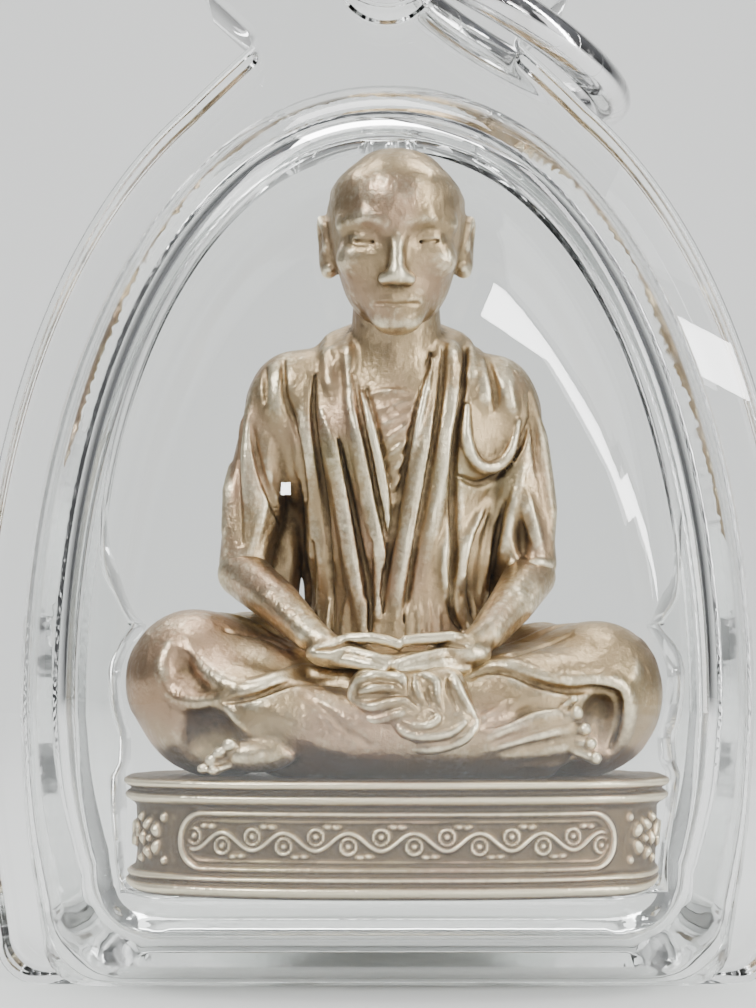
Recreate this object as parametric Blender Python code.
"""Seated monk figure on an oval pedestal, in a clear arched case with a hanging ring.

Metres, +Z up, +X to the viewer's right, -Y to the viewer. The origin is under the middle of the
case, which stands on its flat lower edge.
"""

import math
from collections import namedtuple

import bmesh
import bpy
from mathutils import Matrix, Vector

MM = 0.001

# Figure and pedestal, one casting
BODY_HEIGHT = 23.5 * MM
PEDESTAL_WIDTH = 20.0 * MM
KNEE_INSET = 0.1 * MM
PEDESTAL_DEPTH = 12.0 * MM
PEDESTAL_HEIGHT = 4.1 * MM
MOULDING_DEPTH = 0.5 * MM
BODY_SINK = 0.3 * MM
FIGURE_SHIFT = 0.35 * MM
FOLD_RELIEF = 0.33 * MM
TRIM_RADIUS = 0.2 * MM
PETAL_SIZE = 0.3 * MM
CASTING_GRAIN = 0.28 * MM

# Clear case, sized round the casting
SLAB_DEPTH = 5.0 * MM
SLAB_EDGE = 0.35 * MM
SILL_HEIGHT = 3.1 * MM
FIT = 0.25 * MM
SEAM = 0.25 * MM
DOME_WALL = 1.2 * MM
DOME_SHOULDER = 3.4 * MM
CROWN_SHARE = 0.45
SIDE_ROOM = 2.0 * MM
FRONT_ROOM = 0.8 * MM
HEAD_ROOM = 0.7 * MM
FLANGE_SIDE = 1.8 * MM
FLANGE_TOP = 2.2 * MM
CASE_CORNER = 1.6 * MM
CORNER_GROWTH = 0.25
SIDE_TAPER = 0.9 * MM
SIDE_BOW = 0.7
SPRING_SHARE = 0.28
ARCH_ROUNDNESS = 2.1

# Lug and ring
LUG_WIDTH = 13.9 * MM
LUG_HEIGHT = 6.0 * MM
NOTCH_DROP = 0.5 * MM
RING_WIRE = 1.5 * MM
RING_SPAN = 9.9 * MM
RING_PLAY = 0.15 * MM
HOLE_DIAMETER = 3.6 * MM
HOLE_RISE = 0.54
RING_REST = math.radians(31.0)

# Sizes that follow
KNEE_SPAN = PEDESTAL_WIDTH - 2 * KNEE_INSET
PEDESTAL_FLOOR = SILL_HEIGHT + FIT
PEDESTAL_TOP = PEDESTAL_FLOOR + PEDESTAL_HEIGHT
BODY_FLOOR = PEDESTAL_TOP - BODY_SINK
FIGURE_TOP = BODY_FLOOR + BODY_HEIGHT
DOME_HALF = PEDESTAL_WIDTH / 2 + SIDE_ROOM + DOME_WALL
DOME_TOP = FIGURE_TOP + HEAD_ROOM + DOME_WALL
DOME_DEPTH = PEDESTAL_DEPTH / 2 + FRONT_ROOM + DOME_WALL - SLAB_DEPTH / 2
SLAB_HALF = DOME_HALF + FLANGE_SIDE
SLAB_TOP = DOME_TOP + FLANGE_TOP
NOTCH_HEIGHT = SLAB_TOP - NOTCH_DROP
HINGE_HEIGHT = NOTCH_HEIGHT + HOLE_RISE * LUG_HEIGHT

# Steps round the curves
CORNER_STEPS = 4
ARCH_STEPS = 13
LUG_STEPS = 7
HOLE_STEPS = 28
RING_STEPS = 36
WIRE_STEPS = 10
OVAL_STEPS = 44
BALL_STEPS = 20
BALL_RINGS = 12
PETAL_STEPS = 8
PETAL_RINGS = 5
TUBE_STEPS = 12
TRIM_STEPS = 6
FRAME_END_STEPS = 9
BODY_FACE_SHARE = 0.16

# Rows of the tables. In a figure's row, across is a share of half the knee span, out a share of half
# the pedestal's depth (forward is negative) and up a share of the body's height over the pedestal.
Joint = namedtuple("Joint", "across out up thick")
Ball = namedtuple("Ball", "across out up wide deep tall")
Section = namedtuple("Section", "up wide front back")
Fold = namedtuple("Fold", "across up")
Course = namedtuple("Course", "rise inset")
Reach = namedtuple("Reach", "rise reach")
LugPoint = namedtuple("LugPoint", "across rise")
Shoulder = namedtuple("Shoulder", "inset depth")

# Limbs, each a chain of joints; thick is a radius as a share of the body's height.
LIMBS = {
    "left_thigh": [
        Joint(-0.26, 0.43, 0.13, 0.11),
        Joint(-0.57, 0.17, 0.15, 0.11),
        Joint(-0.77, -0.10, 0.15, 0.10),
    ],
    "right_thigh": [
        Joint(0.26, 0.43, 0.13, 0.11),
        Joint(0.57, 0.17, 0.15, 0.11),
        Joint(0.77, -0.10, 0.14, 0.095),
    ],
    "front_shin": [
        Joint(-0.73, -0.36, 0.12, 0.085),
        Joint(-0.45, -0.60, 0.10, 0.075),
        Joint(-0.10, -0.72, 0.07, 0.060),
        Joint(0.25, -0.74, 0.065, 0.054),
        Joint(0.50, -0.70, 0.065, 0.050),
    ],
    "rear_shin": [
        Joint(0.73, -0.33, 0.11, 0.080),
        Joint(0.40, -0.48, 0.11, 0.073),
        Joint(0.05, -0.52, 0.08, 0.065),
        Joint(-0.30, -0.56, 0.05, 0.047),
        Joint(-0.46, -0.60, 0.045, 0.041),
    ],
    "left_upper_arm": [
        Joint(-0.45, 0.23, 0.60, 0.065),
        Joint(-0.52, 0.20, 0.45, 0.052),
        Joint(-0.55, 0.13, 0.31, 0.045),
    ],
    "right_upper_arm": [
        Joint(0.43, 0.23, 0.60, 0.065),
        Joint(0.47, 0.20, 0.45, 0.052),
        Joint(0.49, 0.13, 0.31, 0.045),
    ],
    "left_forearm": [
        Joint(-0.55, 0.10, 0.29, 0.045),
        Joint(-0.39, -0.28, 0.25, 0.039),
        Joint(-0.25, -0.53, 0.215, 0.030),
    ],
    "right_forearm": [
        Joint(0.49, 0.10, 0.29, 0.045),
        Joint(0.38, -0.28, 0.25, 0.039),
        Joint(0.27, -0.53, 0.215, 0.030),
    ],
    "neck": [
        Joint(0.0, 0.17, 0.58, 0.085),
        Joint(0.0, 0.08, 0.68, 0.078),
        Joint(0.0, 0.02, 0.77, 0.075),
    ],
    "nose": [
        Joint(0.0, -0.46, 0.86, 0.013),
        Joint(0.0, -0.53, 0.81, 0.017),
    ],
    "left_hem": [
        Joint(-0.80, -0.53, 0.08, 0.013),
        Joint(-0.62, -0.73, 0.11, 0.013),
        Joint(-0.36, -0.78, 0.15, 0.013),
        Joint(-0.16, -0.73, 0.17, 0.012),
    ],
    "right_hem": [
        Joint(0.30, -0.70, 0.175, 0.012),
        Joint(0.50, -0.62, 0.155, 0.013),
        Joint(0.73, -0.53, 0.145, 0.013),
        Joint(0.78, -0.53, 0.10, 0.013),
    ],
    "sash_edge": [
        Joint(-0.14, -0.88, 0.145, 0.014),
        Joint(0.06, -0.91, 0.14, 0.014),
        Joint(0.11, -0.92, 0.11, 0.014),
        Joint(-0.04, -0.92, 0.095, 0.014),
        Joint(0.02, -0.92, 0.065, 0.014),
        Joint(0.27, -0.87, 0.095, 0.014),
    ],
}

# Rounded masses; tall follows the body's height, wide half the knee span, deep half the depth.
BALLS = {
    "left_knee": Ball(-0.78, -0.15, 0.14, 0.22, 0.42, 0.115),
    "right_knee": Ball(0.79, -0.15, 0.135, 0.21, 0.42, 0.11),
    "lap": Ball(0.0, -0.10, 0.12, 0.56, 0.67, 0.09),
    "seat": Ball(0.0, 0.37, 0.125, 0.48, 0.48, 0.135),
    "left_palm": Ball(-0.14, -0.65, 0.20, 0.14, 0.16, 0.024),
    "right_palm": Ball(0.16, -0.65, 0.195, 0.14, 0.16, 0.024),
    "fingers": Ball(0.01, -0.72, 0.195, 0.17, 0.125, 0.022),
    "front_foot": Ball(0.58, -0.65, 0.065, 0.18, 0.13, 0.06),
    "rear_foot": Ball(-0.59, -0.65, 0.04, 0.17, 0.17, 0.037),
    "skull": Ball(0.0, 0.06, 0.885, 0.265, 0.52, 0.115),
    "face": Ball(0.0, -0.12, 0.815, 0.22, 0.35, 0.108),
    "chin": Ball(0.0, -0.32, 0.735, 0.105, 0.13, 0.034),
    "left_ear": Ball(-0.265, 0.08, 0.83, 0.042, 0.12, 0.056),
    "right_ear": Ball(0.265, 0.08, 0.83, 0.042, 0.12, 0.056),
    "sash_cloth": Ball(0.07, -0.80, 0.115, 0.22, 0.125, 0.07),
}

# Robe over the trunk, from the lap to the collar.
TRUNK = [
    Section(0.08, 0.39, 0.27, 0.78),
    Section(0.19, 0.35, 0.25, 0.77),
    Section(0.30, 0.35, 0.25, 0.73),
    Section(0.40, 0.39, 0.28, 0.72),
    Section(0.51, 0.46, 0.30, 0.72),
    Section(0.60, 0.50, 0.25, 0.70),
    Section(0.65, 0.44, 0.15, 0.63),
    Section(0.69, 0.29, 0.05, 0.52),
    Section(0.72, 0.19, 0.0, 0.43),
]

# Pleats raised on the front of the trunk and on its back.
FRONT_FOLDS = {
    "left_lapel_edge": [Fold(-0.18, 0.69), Fold(-0.13, 0.55), Fold(-0.08, 0.40), Fold(-0.02, 0.24)],
    "left_lapel_middle": [Fold(-0.26, 0.68), Fold(-0.24, 0.55), Fold(-0.17, 0.40), Fold(-0.10, 0.22)],
    "left_lapel_outer": [Fold(-0.35, 0.66), Fold(-0.33, 0.54), Fold(-0.28, 0.38), Fold(-0.22, 0.22)],
    "right_lapel_edge": [Fold(0.17, 0.69), Fold(0.14, 0.57), Fold(0.09, 0.42), Fold(0.02, 0.24)],
    "right_lapel_middle": [Fold(0.24, 0.68), Fold(0.22, 0.57), Fold(0.18, 0.42), Fold(0.10, 0.22)],
    "right_lapel_outer": [Fold(0.31, 0.67), Fold(0.28, 0.57), Fold(0.25, 0.42), Fold(0.21, 0.22)],
    "breast_swag": [Fold(0.28, 0.60), Fold(0.29, 0.53), Fold(0.37, 0.49), Fold(0.46, 0.56)],
    "sleeve_pleat": [Fold(-0.43, 0.63), Fold(-0.44, 0.53), Fold(-0.38, 0.42), Fold(-0.33, 0.32)],
}
BACK_FOLDS = {
    "back_left": [Fold(-0.32, 0.66), Fold(-0.27, 0.47), Fold(-0.24, 0.25), Fold(-0.28, 0.13)],
    "back_middle": [Fold(-0.10, 0.68), Fold(-0.06, 0.47), Fold(-0.04, 0.25), Fold(-0.06, 0.11)],
    "back_right": [Fold(0.14, 0.68), Fold(0.16, 0.47), Fold(0.18, 0.25), Fold(0.16, 0.11)],
    "back_outer": [Fold(0.34, 0.65), Fold(0.34, 0.47), Fold(0.32, 0.25), Fold(0.33, 0.13)],
}

# Pedestal mouldings: rise as a share of its height, inset as a share of the moulding depth.
COURSES = [
    Course(0.0, 0.7),
    Course(0.05, 0.1),
    Course(0.12, 0.0),
    Course(0.17, 0.5),
    Course(0.21, 0.9),
    Course(0.26, 1.0),
    Course(0.74, 1.0),
    Course(0.78, 0.4),
    Course(0.83, 0.0),
    Course(0.87, 0.6),
    Course(0.91, 0.1),
    Course(0.97, 0.0),
    Course(1.0, 0.4),
]
OVAL_ROUNDNESS = 2.7

# Raised frame on the pedestal's front, and the petals at its ends.
FRAME_REACH = 0.78
FRAME_LOW = 0.33
FRAME_HIGH = 0.67
PETALS = 5
PETAL_REACH = 0.92
PETAL_SPREAD = 0.055

# Window in the slab beside the knees: rise as a share of the body's height over the pedestal's top,
# reach as a share of half the knee span with its fit.
KNEE_REACH = [
    Reach(0.02, 0.985),
    Reach(0.06, 0.98),
    Reach(0.09, 1.0),
    Reach(0.13, 1.02),
    Reach(0.17, 1.02),
    Reach(0.205, 0.98),
    Reach(0.235, 0.93),
    Reach(0.245, 0.95),
    Reach(0.285, 1.005),
    Reach(0.335, 1.055),
]
WINDOW_SPRING_SHARE = 0.405
WINDOW_SPREAD = 0.85 * MM
WINDOW_HEAD_ROOM = 0.6 * MM
WINDOW_ROUNDNESS = 1.85

# Lug: across as a share of half its width, rise as a share of its height over the notch.
LUG_SIDE = [
    LugPoint(0.82, -0.08),
    LugPoint(0.68, 0.0),
    LugPoint(0.73, 0.06),
    LugPoint(0.95, 0.30),
]
LUG_CURVE_RISE = 0.45

# Dome section: inset as a share of the shoulder, depth as a share of the dome's depth.
SHOULDERS = [
    Shoulder(0.0, 0.0),
    Shoulder(0.06, 0.20),
    Shoulder(0.15, 0.40),
    Shoulder(0.35, 0.71),
    Shoulder(0.65, 0.89),
    Shoulder(1.0, 0.96),
    Shoulder(1.8, 0.99),
]


def clear_scene():
    for item in list(bpy.data.objects):
        bpy.data.objects.remove(item, do_unlink=True)


def principled(name, colour, metallic, roughness, transmission=0.0):
    material = bpy.data.materials.new(name)
    material.use_nodes = True
    shader = material.node_tree.nodes["Principled BSDF"]
    shader.inputs["Base Color"].default_value = (*colour, 1.0)
    shader.inputs["Metallic"].default_value = metallic
    shader.inputs["Roughness"].default_value = roughness
    shader.inputs["Transmission Weight"].default_value = transmission
    shader.inputs["IOR"].default_value = 1.49
    return material


def add_object(name, bm, material):
    """Turn a bmesh into an object whose faces point out."""
    bmesh.ops.recalc_face_normals(bm, faces=bm.faces)
    mesh = bpy.data.meshes.new(name)
    bm.to_mesh(mesh)
    bm.free()
    item = bpy.data.objects.new(name, mesh)
    bpy.context.collection.objects.link(item)
    mesh.materials.append(material)
    mesh.shade_smooth()
    mesh.set_sharp_from_angle(angle=math.radians(35.0))
    return item


def make_guide(item):
    """Keep a cutter or a form out of the finished model."""
    item.hide_render = True
    item.display_type = "WIRE"


def add_boolean(item, other, operation):
    boolean = item.modifiers.new(operation.lower(), "BOOLEAN")
    boolean.operation = operation
    boolean.solver = "EXACT"
    boolean.object = other


def loft(bm, loops, close=False):
    """Join loops of equally many points by quads, with flat caps unless the loft closes on itself."""
    rows = [[bm.verts.new(point) for point in loop] for loop in loops]
    pairs = list(zip(rows, rows[1:]))
    if close:
        pairs.append((rows[-1], rows[0]))
    for low, high in pairs:
        for index in range(len(low)):
            after = (index + 1) % len(low)
            bm.faces.new((low[index], low[after], high[after], high[index]))
    if not close:
        bm.faces.new(rows[0][::-1])
        bm.faces.new(rows[-1])


def mirrored(half):
    """Close a right half, listed from the floor up to just short of the crown, to a whole loop."""
    return half + [(-x, z) for x, z in reversed(half)]


def squircle(turn, roundness):
    """Point of a superellipse of unit half-axes."""
    cosine, sine = math.cos(turn), math.sin(turn)
    power = 2.0 / roundness
    return math.copysign(abs(cosine) ** power, cosine), math.copysign(abs(sine) ** power, sine)


def arch_half(half_width, top, floor, corner):
    """Right half of the case's arch: rounded foot, tapered side, then the arch up to the crown."""
    spring = SPRING_SHARE * SLAB_TOP
    foot = half_width - SIDE_TAPER
    points = []
    for step in range(CORNER_STEPS + 1):
        turn = math.radians(90.0) * step / CORNER_STEPS
        points.append((foot - corner + corner * math.sin(turn), floor + corner - corner * math.cos(turn)))
    middle = (floor + corner + spring) / 2
    points.append((foot + SIDE_BOW * SIDE_TAPER, middle))
    for step in range(ARCH_STEPS):
        across, rise = squircle(math.radians(90.0) * step / (ARCH_STEPS - 0.5), ARCH_ROUNDNESS)
        points.append((half_width * across, spring + (top - spring) * rise))
    return points


def offset_loop(points, distance):
    """Move each point of an anticlockwise loop inwards along its own normal."""
    moved = []
    for index, (x, z) in enumerate(points):
        before = Vector(points[index - 1])
        after = Vector(points[(index + 1) % len(points)])
        along = (after - before).normalized()
        moved.append((x - along.y * distance, z + along.x * distance))
    return moved


def slab_outline():
    """Arch with the lug's neck, flare and round head on top."""
    lug_half = LUG_WIDTH / 2
    neck = LUG_SIDE[0].across * lug_half + SLAB_EDGE
    half = [point for point in arch_half(SLAB_HALF, SLAB_TOP, 0.0, CASE_CORNER) if point[0] > neck]
    for row in LUG_SIDE:
        half.append((row.across * lug_half, NOTCH_HEIGHT + row.rise * LUG_HEIGHT))
    base = NOTCH_HEIGHT + LUG_CURVE_RISE * LUG_HEIGHT
    for step in range(LUG_STEPS):
        turn = math.radians(90.0) * step / (LUG_STEPS - 0.5)
        head_rise = (1.0 - LUG_CURVE_RISE) * LUG_HEIGHT * math.sin(turn)
        half.append((lug_half * math.cos(turn), base + head_rise))
    return mirrored(half)


def window_outline():
    """Contour cut that holds the pedestal and the knees, then widens to an arch round the body."""
    seat = PEDESTAL_WIDTH / 2 + FIT
    knee = KNEE_SPAN / 2 + FIT
    half = [(seat, SILL_HEIGHT), (seat, PEDESTAL_TOP)]
    for row in KNEE_REACH:
        half.append((row.reach * knee, PEDESTAL_TOP + row.rise * BODY_HEIGHT))
    reach = DOME_HALF - DOME_WALL - WINDOW_SPREAD
    spring = PEDESTAL_TOP + WINDOW_SPRING_SHARE * BODY_HEIGHT
    top = FIGURE_TOP + WINDOW_HEAD_ROOM
    for step in range(ARCH_STEPS):
        across, rise = squircle(math.radians(90.0) * step / (ARCH_STEPS - 0.5), WINDOW_ROUNDNESS)
        half.append((reach * across, spring + (top - spring) * rise))
    return [(x + FIGURE_SHIFT, z) for x, z in mirrored(half)]


def upright(points, y):
    """Stand a loop of (x, z) points at a depth."""
    return [(x, y, z) for x, z in points]


def make_slab(material):
    bm = bmesh.new()
    outline = slab_outline()
    eased = offset_loop(outline, SLAB_EDGE)
    face = SLAB_DEPTH / 2
    loft(bm, [
        upright(eased, -face),
        upright(outline, SLAB_EDGE - face),
        upright(outline, face - SLAB_EDGE),
        upright(eased, face),
    ])
    slab = add_object("case_slab", bm, material)

    window = bmesh.new()
    loft(window, [upright(window_outline(), -SLAB_DEPTH), upright(window_outline(), SLAB_DEPTH)])
    window_cutter = add_object("window_cutter", window, material)
    make_guide(window_cutter)
    add_boolean(slab, window_cutter, "DIFFERENCE")

    hole = bmesh.new()
    place = Matrix.Translation((0.0, 0.0, HINGE_HEIGHT)) @ Matrix.Rotation(math.radians(90.0), 4, "X")
    bmesh.ops.create_cone(
        hole, cap_ends=True, segments=HOLE_STEPS, radius1=HOLE_DIAMETER / 2,
        radius2=HOLE_DIAMETER / 2, depth=2 * SLAB_DEPTH, matrix=place,
    )
    hole_cutter = add_object("hole_cutter", hole, material)
    make_guide(hole_cutter)
    add_boolean(slab, hole_cutter, "DIFFERENCE")
    return slab


def dome_loop(inset, depth):
    """Loop of a dome at an inset from its foot's outline and a depth in front of the slab."""
    corner = CASE_CORNER + CORNER_GROWTH * inset
    half = arch_half(DOME_HALF - inset, DOME_TOP - inset, inset, corner)
    return upright(mirrored(half), -(SLAB_DEPTH / 2 + SEAM + depth))


def inner_section(section):
    """Section of the dome moved inwards by the wall, which is even all over."""
    moved = [(section[0][0] + DOME_WALL, section[0][1])]
    for before, here, after in zip(section, section[1:], section[2:] + section[-1:]):
        along = (Vector(after) - Vector(before)).normalized()
        moved.append((here[0] + DOME_WALL * along.y, here[1] - DOME_WALL * along.x))
    return moved


def make_dome(name, material, turned):
    bm = bmesh.new()
    section = [(row.inset * DOME_SHOULDER, row.depth * DOME_DEPTH) for row in SHOULDERS]
    outer = [dome_loop(inset, depth) for inset, depth in section]
    inner = [dome_loop(inset, depth) for inset, depth in inner_section(section)]
    hollow = DOME_DEPTH - DOME_WALL
    rows = [[bm.verts.new(point) for point in loop] for loop in inner[::-1] + outer]
    for low, high in zip(rows, rows[1:]):
        for index in range(len(low)):
            after = (index + 1) % len(low)
            bm.faces.new((low[index], low[after], high[after], high[index]))
    for row, depth in ((rows[0], hollow), (rows[-1], DOME_DEPTH)):
        crown = bm.verts.new((0.0, -(SLAB_DEPTH / 2 + SEAM + depth), CROWN_SHARE * DOME_TOP))
        for index in range(len(row)):
            bm.faces.new((row[index], row[(index + 1) % len(row)], crown))
    if turned:
        bmesh.ops.scale(bm, vec=(1.0, -1.0, 1.0), verts=bm.verts)
    return add_object(name, bm, material)


def figure_point(across, out, up):
    """Place of a figure's row in the world."""
    return Vector((
        FIGURE_SHIFT + across * KNEE_SPAN / 2,
        out * PEDESTAL_DEPTH / 2,
        BODY_FLOOR + up * BODY_HEIGHT,
    ))


def add_ball(bm, centre, radii, steps=BALL_STEPS, rings=BALL_RINGS):
    loops = []
    for ring in range(rings):
        tilt = math.pi * (ring + 0.5) / rings
        loops.append([
            centre + Vector((
                radii[0] * math.sin(tilt) * math.cos(math.tau * step / steps),
                radii[1] * math.sin(tilt) * math.sin(math.tau * step / steps),
                -radii[2] * math.cos(tilt),
            ))
            for step in range(steps)
        ])
    loft(bm, loops)


def add_tube(bm, points, radii):
    """Tube through the points, thick as the radii say, with flat ends."""
    loops = []
    for index, point in enumerate(points):
        before = points[max(index - 1, 0)]
        after = points[min(index + 1, len(points) - 1)]
        turn = (after - before).to_track_quat("Z", "Y").to_matrix()
        loops.append([
            point + turn @ Vector((
                radii[index] * math.cos(math.tau * step / TUBE_STEPS),
                radii[index] * math.sin(math.tau * step / TUBE_STEPS),
                0.0,
            ))
            for step in range(TUBE_STEPS)
        ])
    loft(bm, loops)


def add_limb(bm, points, radii):
    """Tapered stretches between balls at the joints."""
    for point, radius in zip(points, radii):
        add_ball(bm, point, (radius, radius, radius))
    for index in range(len(points) - 1):
        add_tube(bm, points[index:index + 2], radii[index:index + 2])


def trunk_size(up):
    """Half-width, front and back of the trunk at a height, between its sections."""
    for low, high in zip(TRUNK, TRUNK[1:]):
        if up <= high.up:
            share = max(0.0, (up - low.up) / (high.up - low.up))
            return [a + share * (b - a) for a, b in zip(low[1:], high[1:])]
    return list(TRUNK[-1][1:])


def trunk_skin(across, up, side):
    """Point of the trunk's front (side -1) or back (side 1)."""
    wide, front, back = trunk_size(up)
    share = min(0.98, abs(across) / wide)
    bulge = math.sqrt(1.0 - share ** 2)
    middle = (back - front) / 2
    deep = (back + front) / 2
    return figure_point(across, middle + side * deep * bulge, up)


def add_trunk(bm):
    loops = []
    for row in TRUNK:
        middle = (row.back - row.front) / 2
        deep = (row.back + row.front) / 2
        loop = []
        for step in range(OVAL_STEPS):
            turn = math.tau * step / OVAL_STEPS
            loop.append(figure_point(row.wide * math.cos(turn), middle + deep * math.sin(turn), row.up))
        loops.append(loop)
    loft(bm, loops)


def smooth_route(points, steps=4):
    """Points of a smooth curve through the given ones."""
    padded = [2 * points[0] - points[1]] + points + [2 * points[-1] - points[-2]]
    route = []
    for index in range(1, len(padded) - 2):
        a, b, c, d = padded[index - 1:index + 3]
        for step in range(steps):
            t = step / steps
            route.append(0.5 * (
                2 * b + (c - a) * t + (2 * a - 5 * b + 4 * c - d) * t ** 2
                + (3 * b - a - 3 * c + d) * t ** 3
            ))
    return route + [points[-1]]


def make_body(material):
    """Form of the seated monk in robes: rounded masses, limbs, trunk and pleats in one skin."""
    bm = bmesh.new()
    for ball in BALLS.values():
        radii = (ball.wide * KNEE_SPAN / 2, ball.deep * PEDESTAL_DEPTH / 2, ball.tall * BODY_HEIGHT)
        add_ball(bm, figure_point(ball.across, ball.out, ball.up), radii)
    for joints in LIMBS.values():
        points = [figure_point(joint.across, joint.out, joint.up) for joint in joints]
        add_limb(bm, points, [joint.thick * BODY_HEIGHT for joint in joints])
    add_trunk(bm)
    for side, folds in ((-1, FRONT_FOLDS), (1, BACK_FOLDS)):
        for fold in folds.values():
            route = smooth_route([trunk_skin(row.across, row.up, side) for row in fold])
            add_tube(bm, route, [FOLD_RELIEF] * len(route))
    body = add_object("body_form", bm, material)
    remesh = body.modifiers.new("skin", "REMESH")
    remesh.mode = "VOXEL"
    remesh.voxel_size = CASTING_GRAIN
    smooth = body.modifiers.new("ease", "SMOOTH")
    smooth.factor = 0.5
    smooth.iterations = 2
    decimate = body.modifiers.new("thin", "DECIMATE")
    decimate.ratio = BODY_FACE_SHARE
    make_guide(body)
    return body


def oval_loop(inset, z):
    """Loop of the pedestal's rounded outline at a height."""
    loop = []
    for step in range(OVAL_STEPS):
        across, out = squircle(math.tau * step / OVAL_STEPS, OVAL_ROUNDNESS)
        x = FIGURE_SHIFT + across * (PEDESTAL_WIDTH / 2 - inset)
        loop.append((x, out * (PEDESTAL_DEPTH / 2 - inset), z))
    return loop


def pedestal_front(across, rise):
    """Point on the recessed front face; across is a share of the pedestal's half-width."""
    half_width = PEDESTAL_WIDTH / 2 - MOULDING_DEPTH
    half_depth = PEDESTAL_DEPTH / 2 - MOULDING_DEPTH
    bulge = (1.0 - abs(across) ** OVAL_ROUNDNESS) ** (1.0 / OVAL_ROUNDNESS)
    return Vector((
        FIGURE_SHIFT + across * half_width, -half_depth * bulge, PEDESTAL_FLOOR + rise * PEDESTAL_HEIGHT,
    ))


def add_tube_ring(bm, points, radius):
    """Closed tube of even thickness through a closed list of points on the pedestal's face."""
    loops = []
    for index, point in enumerate(points):
        along = (points[(index + 1) % len(points)] - points[index - 1]).normalized()
        turn = along.to_track_quat("Z", "Y").to_matrix()
        loops.append([
            point + turn @ Vector((
                radius * math.cos(math.tau * side / TRIM_STEPS),
                radius * math.sin(math.tau * side / TRIM_STEPS),
                0.0,
            ))
            for side in range(TRIM_STEPS)
        ])
    loft(bm, loops, close=True)


def add_frame(bm):
    """Raised frame with round ends, on the front face."""
    middle = (FRAME_LOW + FRAME_HIGH) / 2
    half_rise = (FRAME_HIGH - FRAME_LOW) / 2
    end = half_rise * PEDESTAL_HEIGHT / (PEDESTAL_WIDTH / 2)
    points = []
    for side in (1, -1):
        for step in range(FRAME_END_STEPS):
            turn = math.radians(-90.0 + 180.0 * step / (FRAME_END_STEPS - 1))
            across = side * (FRAME_REACH - end + end * math.cos(turn))
            points.append(pedestal_front(across, middle + side * half_rise * math.sin(turn)))
        for step in range(1, FRAME_END_STEPS):
            across = side * (FRAME_REACH - end) * (1.0 - 2.0 * step / FRAME_END_STEPS)
            points.append(pedestal_front(across, middle + side * half_rise))
    add_tube_ring(bm, points, TRIM_RADIUS)


def add_bead(bm, centre, radius):
    add_ball(bm, centre, (radius, radius, radius), PETAL_STEPS, PETAL_RINGS)


def add_petals(bm):
    """Flower of round petals at each end of the front face."""
    half_rise = (FRAME_HIGH - FRAME_LOW) / 2
    for side in (-1, 1):
        centre = pedestal_front(side * PETAL_REACH, (FRAME_LOW + FRAME_HIGH) / 2)
        add_bead(bm, centre, PETAL_SIZE)
        for petal in range(PETALS):
            turn = math.tau * petal / PETALS + math.radians(90.0)
            rise = (FRAME_LOW + FRAME_HIGH) / 2 + half_rise * math.sin(turn)
            across = side * (PETAL_REACH + PETAL_SPREAD * math.cos(turn))
            add_bead(bm, pedestal_front(across, rise), PETAL_SIZE)


def make_figure(material):
    bm = bmesh.new()
    loft(bm, [
        oval_loop(row.inset * MOULDING_DEPTH, PEDESTAL_FLOOR + row.rise * PEDESTAL_HEIGHT)
        for row in COURSES
    ])
    figure = add_object("monk_figure", bm, material)
    frame = bmesh.new()
    add_frame(frame)
    frame_form = add_object("frame_form", frame, material)
    petals = bmesh.new()
    add_petals(petals)
    petal_form = add_object("petal_form", petals, material)
    for form in (frame_form, petal_form, make_body(material)):
        make_guide(form)
        add_boolean(figure, form, "UNION")
    return figure


def make_ring(material):
    """Wire ring in its resting tilt, with its origin on the hole's axis."""
    bpy.ops.mesh.primitive_torus_add(
        major_radius=RING_SPAN / 2, minor_radius=RING_WIRE / 2,
        major_segments=RING_STEPS, minor_segments=WIRE_STEPS,
    )
    ring = bpy.context.object
    ring.name = "hanging_ring"
    ring.data.transform(Matrix.Translation((RING_SPAN / 2 - RING_PLAY, 0.0, 0.0)))
    ring.data.materials.append(material)
    ring.data.shade_smooth()
    ring.location = (0.0, 0.0, HINGE_HEIGHT)
    ring.rotation_euler = (0.0, RING_REST, 0.0)
    return ring


def main():
    clear_scene()
    clear = principled("clear_acrylic", (0.93, 0.95, 0.94), 0.0, 0.04, transmission=1.0)
    front_clear = principled("front_acrylic", (0.94, 0.95, 0.94), 0.0, 0.04, transmission=1.0)
    back_clear = principled("back_acrylic", (0.92, 0.94, 0.93), 0.0, 0.04, transmission=1.0)
    bronze = principled("cast_bronze", (0.40, 0.29, 0.18), 1.0, 0.38)
    steel = principled("bright_steel", (0.80, 0.80, 0.82), 1.0, 0.12)
    make_slab(clear)
    make_dome("front_dome", front_clear, turned=False)
    make_dome("back_dome", back_clear, turned=True)
    make_figure(bronze)
    make_ring(steel)


main()
